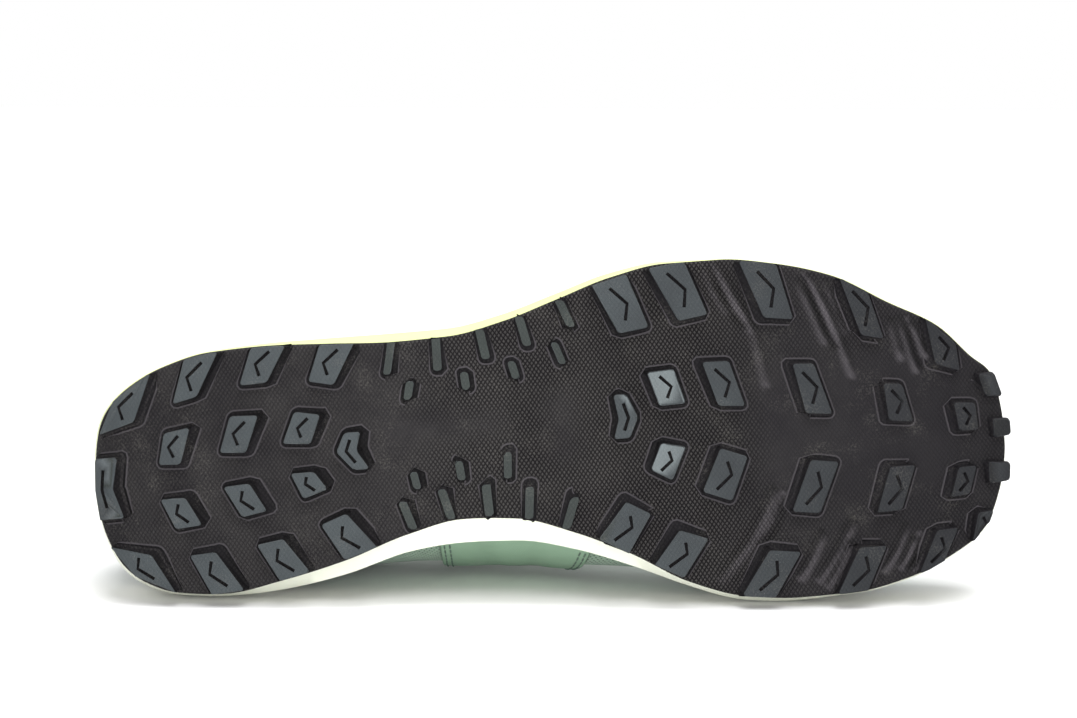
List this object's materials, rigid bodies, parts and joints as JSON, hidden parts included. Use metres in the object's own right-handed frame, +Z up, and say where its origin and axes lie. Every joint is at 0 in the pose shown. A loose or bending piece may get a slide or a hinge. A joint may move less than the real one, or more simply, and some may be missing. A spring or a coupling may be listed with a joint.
{
  "type": "trail running shoe",
  "caption": "Low trail running shoe for the right foot with a lugged rubber outsole, foam midsole and hollow laced upper, lying on its medial side.",
  "frame": {"origin": "middle of the bounding box on the floor, with the shoe lying on its medial side", "axes": "+X from heel to toe, +Y from the tread towards the collar, +Z up from the medial to the lateral side"},
  "size_m": [0.3006, 0.1278, 0.1114],
  "materials": {
    "outsole_rubber": "dull moulded rubber",
    "midsole_foam": "matte moulded foam",
    "insole_foam": "brushed textile on foam",
    "upper_mesh": "fine mesh",
    "tongue_mesh": "padded mesh",
    "overlay_film": "welded film",
    "eyelet_ring": "satin",
    "lace_webbing": "flat woven"
  },
  "bodies": {
    "root": {"outsole": "outsole_rubber", "midsole": "midsole_foam", "insole": "insole_foam", "upper": "upper_mesh", "tongue": "tongue_mesh", "toe_cap": "overlay_film", "heel_counter": "overlay_film", "eyestay": "overlay_film", "saddle_medial": "overlay_film", "saddle_lateral": "overlay_film", "eyelet_medial_1": "eyelet_ring", "eyelet_medial_2": "eyelet_ring", "eyelet_medial_3": "eyelet_ring", "eyelet_medial_4": "eyelet_ring", "eyelet_medial_5": "eyelet_ring", "eyelet_lateral_1": "eyelet_ring", "eyelet_lateral_2": "eyelet_ring", "eyelet_lateral_3": "eyelet_ring", "eyelet_lateral_4": "eyelet_ring", "eyelet_lateral_5": "eyelet_ring", "laces": "lace_webbing"}
  },
  "joints": []
}
